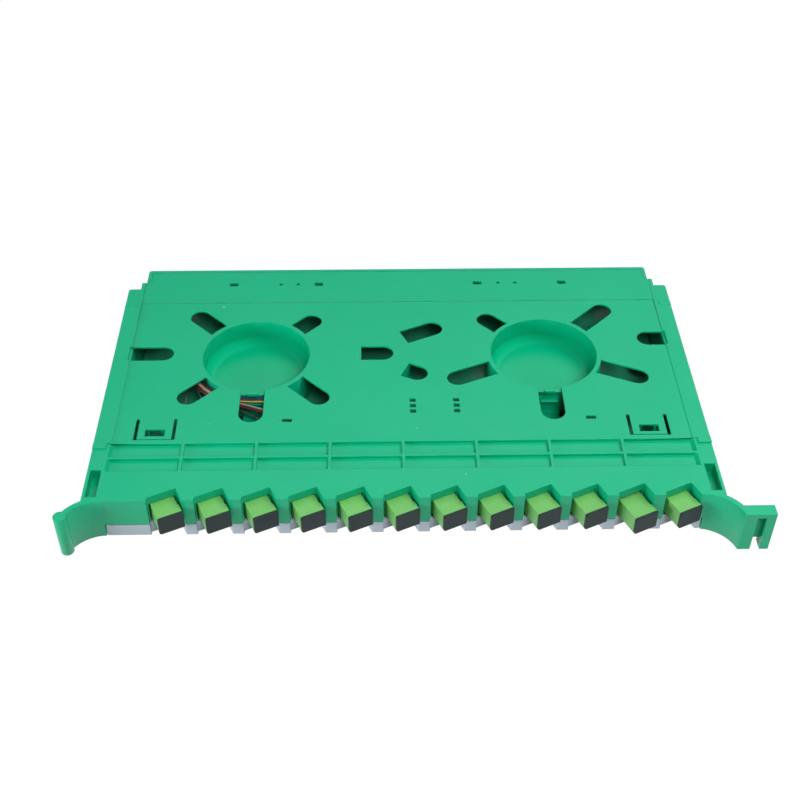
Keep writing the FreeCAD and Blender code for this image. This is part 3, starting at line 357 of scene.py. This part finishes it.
@dataclass(frozen=True)
class Crease:
    """Dull corner ring of a round hollow: its middle, radius, half width and top in mm."""

    middle: Triple
    radius: float
    half: float
    top: float
    level_unit: Triple = (1, 1, 1000)

    def mask(self, sh: Shader) -> Value:
        """Mask of the ring.

        Args:
            sh: The material's tree.

        Returns:
            1 in the ring and 0 outside it or above its top.
        """
        half = self.half * MM
        reach = sh.length(sh.local([c * MM for c in self.middle], self.level_unit))
        inside = half - abs(reach - self.radius * MM)
        return inside.above(half / 2, half) * (self.top * MM - sh.along(Axis.UP)).above(0, half)


@dataclass(frozen=True)
class MouldedPlastic:
    """Opaque moulded plastic with a fine grain, faint cloudiness, scuffs, softened edges and pale edges that
    are partly worn and partly a painted highlight.
    """

    name: str
    colour: Colour
    roughness: float = 0.42
    specular: float = 0.45
    grain: float = 0.45 * MM
    grain_depth: float = 0.012 * MM
    grain_strength: float = 0.35
    cloud: float = 0.12
    cloud_cell: float = 38 * MM
    cloud_edge: Soft = (0.5, 0.7)
    cloud_share: float = 0.6
    mottle_cell: float = 6 * MM
    paleness: float = 0.35
    edge: float = 0.35 * MM
    edge_samples: int = 4
    # How far the edges are painted paler: a painted highlight, partly worn edges
    edge_light: float = 0.3
    bend_edge: Soft = (0.1, 0.16)
    # Noise that breaks up the painted edge highlight and the worn edges
    wear_and_highlight_cell: float = 9 * MM
    wear_and_highlight_edge: Soft = (0.45, 0.4)
    scuff: float = 0.25
    speck_cell: float = 1.6 * MM
    speck_edge: Soft = (0.79, 0.03)
    speck_rough: float = 0.1
    patch_cell: float = 60 * MM
    patch_edge: Soft = (0.5, 0.1)
    scrape: float = 0.6
    scrape_cell: float = 0.8 * MM
    scrape_edge: Soft = (0.4, 0.3)
    sheen: float = 0.14
    sheen_cell: float = 22 * MM
    scuffs: Tuple[Scuff, ...] = ()
    creases: Tuple[Crease, ...] = ()

    def material(self) -> bpy.types.Material:
        """Make the material.

        Returns:
            A material with a Principled surface.
        """
        material, sh = new_shader(self.name)
        rounded = sh.node("ShaderNodeBevel", {"samples": self.edge_samples}, {"Radius": self.edge}).outputs[0]
        specks = (sh.noise(self.speck_cell, Detail.PLAIN, Pattern.SPECKS).above(*self.speck_edge)
                  * sh.noise(self.patch_cell, Detail.SMOOTH).above(*self.patch_edge))
        grain = sh.bump(sh.noise(self.grain), self.grain_strength, self.grain_depth, rounded)
        sh.finish({"Base Color": self._colour(sh, rounded, specks), "Roughness": self._roughness(sh, specks),
                   "Normal": grain, "Specular IOR Level": self.specular})
        return material

    def _colour(self, sh: Shader, rounded: bpy.types.NodeSocket, specks: Value) -> bpy.types.NodeSocket:
        """Cloudy colour with specks, scuffs and pale edges that are partly worn and partly a painted
        highlight.

        Args:
            sh: The material's tree.
            rounded: Normal of the softened edges.
            specks: Mask of the specks.

        Returns:
            Socket of the colour.
        """
        base = linear(self.colour)
        paler = toned(base, WHITE_LEVEL, self.paleness)
        clouds = sh.noise(self.cloud_cell, Detail.FINE).above(*self.cloud_edge) * self.cloud_share
        mottle = sh.noise(self.mottle_cell, Detail.FINEST, Pattern.MOTTLE) * (1 - self.cloud_share)
        cloudy = sh.colour(clouds + mottle, base, toned(base, BLACK_LEVEL, self.cloud))
        bend = 1 - sh.dot(rounded, sh.node("ShaderNodeNewGeometry").outputs["True Normal"])
        wear_and_highlight = sh.noise(self.wear_and_highlight_cell, Detail.FINE, Pattern.WEAR_AND_HIGHLIGHT).above(*self.wear_and_highlight_edge)
        # Rounded edges painted paler: a painted highlight along them, broken up like worn edges
        highlit_edges = sh.colour(bend.above(*self.bend_edge) * wear_and_highlight * self.edge_light, cloudy, paler)
        spotted = sh.colour(specks * self.scuff, highlit_edges, paler)
        for mark in self.scuffs:
            scraped = mark.mask(sh) * sh.noise(self.scrape_cell).above(*self.scrape_edge)
            spotted = sh.colour(scraped * self.scrape, spotted, paler)
        return spotted

    def _roughness(self, sh: Shader, specks: Value) -> Value:
        """Uneven roughness, higher on specks and in creases.

        Args:
            sh: The material's tree.
            specks: Mask of the specks.

        Returns:
            The roughness.
        """
        uneven = sh.noise(self.sheen_cell, Detail.FINEST, Pattern.SHEEN)
        rough = uneven * self.sheen + (self.roughness - self.sheen / 2)
        for corner in self.creases:
            rough = rough + corner.mask(sh) * (1 - self.roughness)
        return rough + specks * self.speck_rough


@dataclass(frozen=True)
class TranslucentPlastic:
    """Translucent moulded sheet with haze and faint hairline scratches."""

    name: str
    tint: Colour
    roughness: float
    transmission: float
    ior: float = 1.49
    haze: float = 0.06
    haze_cell: float = 14 * MM
    haze_share: float = 0.3
    haze_rough: float = 0.06
    scratch_scale: Triple = (18, 900, 200)
    scratch_turn: float = 0.5
    scratch_edge: Soft = (0.69, 0.04)
    scratch_rough: float = 0.22

    def material(self) -> bpy.types.Material:
        """Make the material.

        Returns:
            A material with a Principled surface.
        """
        material, sh = new_shader(self.name)
        base = linear(self.tint)
        haze = sh.noise(self.haze_cell, Detail.FINEST)
        hazy = sh.colour(haze * self.haze_share, base, toned(base, BLACK_LEVEL, self.haze))
        drawn = sh.node("ShaderNodeMapping", None, {"Vector": sh.place(), "Scale": self.scratch_scale,
                                                    "Rotation": (0, 0, self.scratch_turn)})
        streak = sh.node("ShaderNodeTexNoise", {"noise_dimensions": "3D"},
                         {"Vector": drawn.outputs[0], "Scale": 1.0, "Detail": Detail.PLAIN.value})
        scratch = sh.value(streak).above(*self.scratch_edge)
        sh.finish({"Base Color": hazy,
                   "Roughness": haze * self.haze_rough + scratch * self.scratch_rough + self.roughness,
                   "Transmission Weight": self.transmission, "IOR": self.ior})
        return material


@dataclass(frozen=True)
class Jacket:
    """Extruded fibre jacket: glossy, with a slight drift of colour along its run."""

    name: str
    colour: Colour
    roughness: float = 0.34
    drift: float = 0.22
    drift_cell: float = 11 * MM
    drift_share: float = 0.6
    drift_rough: float = 0.1
    ripple_cell: float = 0.7 * MM
    ripple_depth: float = 0.01 * MM
    ripple_strength: float = 0.2

    def material(self) -> bpy.types.Material:
        """Make the material.

        Returns:
            A material with a Principled surface.
        """
        material, sh = new_shader(self.name)
        base = linear(self.colour)
        drift = sh.noise(self.drift_cell)
        drifted = sh.colour(drift * self.drift_share, base, toned(base, BLACK_LEVEL, self.drift))
        ripple = sh.bump(sh.noise(self.ripple_cell, Detail.SMOOTH), self.ripple_strength, self.ripple_depth)
        sh.finish({"Base Color": drifted, "Roughness": drift * self.drift_rough + self.roughness,
                   "Normal": ripple})
        return material


@dataclass(frozen=True)
class RoundedEdge:
    """Small radius that a mould leaves along every edge, laid on a CAD node by modifiers."""

    radius: float
    steps: int = 2
    same_point: float = 0.001 * MM
    flat_angle: float = 0.6
    sharp_angle: float = 33.0

    def lay_on(self, node: bpy.types.Object) -> None:
        """Round the edges of a node.

        Args:
            node: Object of the node, whose own mesh stays as it is.
        """
        weld = node.modifiers.new("joined corners", "WELD")
        weld.merge_threshold = self.same_point
        flat = node.modifiers.new("whole faces", "DECIMATE")
        flat.decimate_type = "DISSOLVE"
        flat.angle_limit = math.radians(self.flat_angle)
        edge = node.modifiers.new("rounded edges", "BEVEL")
        edge.width = self.radius
        edge.segments = self.steps
        edge.limit_method = "ANGLE"
        edge.angle_limit = math.radians(self.sharp_angle)
        edge.use_clamp_overlap = False
        edge.harden_normals = True


def dress(names: Sequence[str], material: bpy.types.Material, edge: Optional[RoundedEdge] = None) -> None:
    """Give CAD nodes one material and, if they are moulded, rounded edges.

    Args:
        names: Names of the nodes.
        material: What they are made of.
        edge: The radius of their edges.
    """
    for name in names:
        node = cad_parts[name]
        node.data.materials.clear()
        node.data.materials.append(material)
        if edge:
            edge.lay_on(node)
        log.info("dressed %s in %s", name, material.name)


@dataclass
class TrayShell:
    """Green tray moulding and the grey cover under its front."""

    green: MouldedPlastic = MouldedPlastic(
        "green moulding", (0, 176, 127), roughness=0.38, specular=0.5,
        scuffs=(Scuff((-101.4, 62.9, 24), (1.4, 0.8, 1), turn=20),
                Scuff((-100.4, -31.2, 24), (0.6, 0.5, 1)),
                Scuff((2.1, -35.8, 24), (0.5, 0.6, 1)),
                Scuff((24.5, -68, 24), (0.4, 0.6, 1))),
        creases=(Crease((-80.856, 21.571, 0), radius=26.8, half=3.2, top=16.5),
                 Crease((71.084, 21.571, 0), radius=26.8, half=3.2, top=16.5)))
    grey: MouldedPlastic = MouldedPlastic("grey moulding", (188, 202, 213), roughness=0.5, scuff=0.4)
    edge: RoundedEdge = RoundedEdge(0.25 * MM)

    def dress(self) -> None:
        """Give both mouldings their finish."""
        dress(["tray_base"], self.green.material(), self.edge)
        dress(["front_cover"], self.grey.material(), self.edge)


@dataclass
class AdapterRow:
    """Adapters with their caps in front and their plugs behind."""

    ports: int = 12
    lime: MouldedPlastic = MouldedPlastic("lime moulding", (115, 193, 102), roughness=0.36, edge=0.3 * MM,
                                          cloud=0.336)
    dark: MouldedPlastic = MouldedPlastic("dark cap", (32, 48, 50), roughness=0.6, cloud=0.192)
    plug: MouldedPlastic = MouldedPlastic("plug moulding", (60, 160, 96), roughness=0.36)
    boot: MouldedPlastic = MouldedPlastic("boot", (58, 150, 92), roughness=0.62)
    white: MouldedPlastic = MouldedPlastic("ferrule", (238, 238, 232), roughness=0.2, cloud=0.048)
    edge: RoundedEdge = RoundedEdge(0.25 * MM, steps=3)

    def names(self, kind: str) -> List[str]:
        """Names of one kind of node in all ports."""
        return [f"{kind}_{port:02d}" for port in range(1, self.ports + 1)]

    def dress(self) -> None:
        """Give every kind of piece its finish."""
        dress(self.names("adapter"), self.lime.material(), self.edge)
        dress(self.names("dust_cap"), self.dark.material(), self.edge)
        dress(self.names("connector"), self.plug.material(), self.edge)
        dress(["boots"], self.boot.material())
        dress(["ferrules", "alignment_sleeves"], self.white.material())


@dataclass
class FibreBay:
    """Lid, splice holder, splices and coloured fibres."""

    lid: TranslucentPlastic = TranslucentPlastic(
        "translucent lid", (70, 205, 160), roughness=0.3, transmission=0.5)
    sleeve: TranslucentPlastic = TranslucentPlastic(
        "shrunk sleeve", (226, 232, 236), roughness=0.25, transmission=0.7)
    # Holder painted dark green as painted shade, for the shade seen through the windows above it
    holder: MouldedPlastic = MouldedPlastic("holder in painted shade", (26, 88, 68), roughness=0.5)
    # Fibre colours, darkened as painted shade for the shadow that the fibres lie in inside the bay
    jacket_colours_with_painted_shade: Dict[str, Colour] = field(default_factory=lambda: {
        "01": (22, 22, 24), "02": (118, 88, 92), "03": (92, 150, 150), "04": (98, 76, 130),
        "05": (78, 86, 90), "06": (28, 110, 60), "07": (66, 44, 34), "08": (104, 26, 38),
        "09": (138, 146, 140), "10": (180, 160, 78), "11": (92, 56, 38), "12": (44, 58, 108)})
    edge: RoundedEdge = RoundedEdge(0.2 * MM)

    def dress(self) -> None:
        """Give the lid, the holder, the splices and each fibre its finish."""
        dress(["lid"], self.lid.material(), self.edge)
        dress(["splice_holder"], self.holder.material(), self.edge)
        dress(["splice_sleeves"], self.sleeve.material(), self.edge)
        for port, colour in self.jacket_colours_with_painted_shade.items():
            dress([f"pigtail_{port}"], Jacket(f"jacket {port}", colour).material())


@dataclass(frozen=True)
class Lamp:
    """Soft square lamp that points at the middle of the tray: metres and watts."""

    name: str
    place: Triple
    size: float
    power: float

    def build(self) -> None:
        """Make the lamp."""
        data = bpy.data.lights.new(self.name, "AREA")
        data.size = self.size
        data.energy = self.power
        lamp = bpy.data.objects.new(self.name, data)
        lamp.location = self.place
        lamp.rotation_euler = (-Vector(self.place)).to_track_quat("-Z", "Y").to_euler()
        lamp.visible_glossy = False
        bpy.context.scene.collection.objects.link(lamp)


@dataclass
class Studio:
    """White floor, soft lamps and the camera at the photograph's angle."""

    camera_place: Triple = (-17.716, -480.299, 445.03)
    elevation: float = 42.135
    yaw: float = 1.462
    roll: float = 0.402
    focal_pixels: float = 1237.93
    image_pixels: float = 800.0
    sensor: float = 36.0
    near: float = 0.01
    far: float = 50.0
    floor_half: float = 3.0
    floor_gap: float = 0.05 * MM
    floor_matt: float = 0.3
    white_share: float = 0.92
    glow: float = 1.08
    sky: float = 0.12
    backdrop: float = 1.25
    backdrop_right: float = 1.5
    backdrop_up: float = 11.0
    backdrop_level: float = 0.68
    backdrop_most: float = 2.4
    backdrop_top: Soft = (0.87, 0.2)
    backdrop_rear: Soft = (0.1, 0.5)
    notch_depth: float = 11 * MM
    wall: float = 2 * MM
    under_soft: float = 2 * MM
    lamps: Tuple[Lamp, ...] = (
        Lamp("overhead", (0.8, 0.05, 1.25), size=0.8, power=13.8),
        Lamp("front", (0.2, -0.88, 1.07), size=0.45, power=9.5),
        Lamp("left", (-1.05, -0.5, 0.25), size=0.4, power=9.0))

    def build(self) -> None:
        """Make the floor, the world, the lamps and the camera."""
        self._floor()
        self._world()
        for lamp in self.lamps:
            lamp.build()
        self._camera()

    def _floor(self) -> None:
        """White floor that still takes the object's shadow and can be seen through from below."""
        bpy.ops.object.select_all(action="DESELECT")
        bpy.ops.mesh.primitive_plane_add(size=2 * self.floor_half, location=(0, 0, -self.floor_gap))
        floor = bpy.context.object
        floor.name = "studio_floor"
        bpy.ops.object.transform_apply(location=True, rotation=True, scale=True)
        material, sh = new_shader("studio floor")
        seen = sh.rays(Ray.CAMERA, Ray.GLOSSY, Ray.TRANSMISSION)
        white = seen * (1 - self._under(sh)) * self.white_share
        matt = sh.node("ShaderNodeBsdfDiffuse", None, {"Color": (self.floor_matt,) * 3 + (1,)})
        glow = sh.node("ShaderNodeEmission", None, {"Color": WHITE, "Strength": self.glow})
        back = sh.node("ShaderNodeNewGeometry").outputs["Backfacing"]
        sh.surface(sh.mixed(back, sh.mixed(white, matt, glow), sh.node("ShaderNodeBsdfTransparent")))
        floor.data.materials.append(material)

    def _under(self, sh: Shader) -> Value:
        """Mask of the floor under the tray.

        Args:
            sh: The floor's tree.

        Returns:
            1 under the tray and 0 beside it.
        """
        low, high = (corner.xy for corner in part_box("lid"))
        low.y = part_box("front_cover")[0].y + self.notch_depth
        middle = (low + high) / 2
        half = (high - low) / 2
        across = half.x + self.wall - abs(sh.along(Axis.RIGHT) - middle.x)
        deep = half.y - abs(sh.along(Axis.REAR) - middle.y)
        return across.above(0, self.under_soft) * deep.above(0, self.under_soft)

    def _world(self) -> None:
        """Even sky light, white where it is looked at, with a bright backdrop for what is shiny."""
        world = bpy.data.worlds.new("studio")
        bpy.context.scene.world = world
        sh = Shader(world)
        ray = sh.node("ShaderNodeTexCoord").outputs["Generated"]
        height = sh.along(Axis.UP, ray)
        across = sh.along(Axis.RIGHT, ray) * self.backdrop_right
        up = (height - self.backdrop_level) * self.backdrop_up
        below_top = 1 - height.above(*self.backdrop_top)
        bright = (across + up + self.backdrop).within(self.backdrop_most) * below_top
        behind = sh.along(Axis.REAR, ray).above(*self.backdrop_rear)
        even = sh.rays(Ray.CAMERA, Ray.TRANSMISSION) * (1 - self.sky) + self.sky
        strength = even + sh.rays(Ray.GLOSSY) * (behind * bright)
        sky = sh.node("ShaderNodeBackground", None, {"Color": WHITE, "Strength": strength})
        sh.node("ShaderNodeOutputWorld", None, {"Surface": sky.outputs[0]})

    def _camera(self) -> None:
        """Camera where the photograph was taken from."""
        tilt, turn, lean = (math.radians(a) for a in (self.elevation, self.yaw, self.roll))
        ahead = Vector((math.sin(turn) * math.cos(tilt), math.cos(turn) * math.cos(tilt), -math.sin(tilt)))
        level = Vector((math.cos(turn), -math.sin(turn), 0))
        upright = level.cross(ahead)
        right = level * math.cos(lean) + upright * math.sin(lean)
        up = upright * math.cos(lean) - level * math.sin(lean)
        data = bpy.data.cameras.new("camera")
        data.sensor_width = self.sensor
        data.lens = self.sensor * self.focal_pixels / self.image_pixels
        data.clip_start = self.near
        data.clip_end = self.far
        camera = bpy.data.objects.new("camera", data)
        turned = Matrix((right, up, -ahead)).transposed().to_4x4()
        camera.matrix_world = Matrix.Translation(Vector(self.camera_place) * MM) @ turned
        bpy.context.scene.collection.objects.link(camera)
        bpy.context.scene.camera = camera


def main() -> None:
    """Build the scene in order."""
    logging.basicConfig(level=logging.INFO, format="%(name)s: %(message)s")
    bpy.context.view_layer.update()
    bpy.context.scene.view_settings.view_transform = "Standard"
    TrayShell().dress()
    AdapterRow().dress()
    FibreBay().dress()
    Studio().build()


if __name__ == "__main__":
    main()
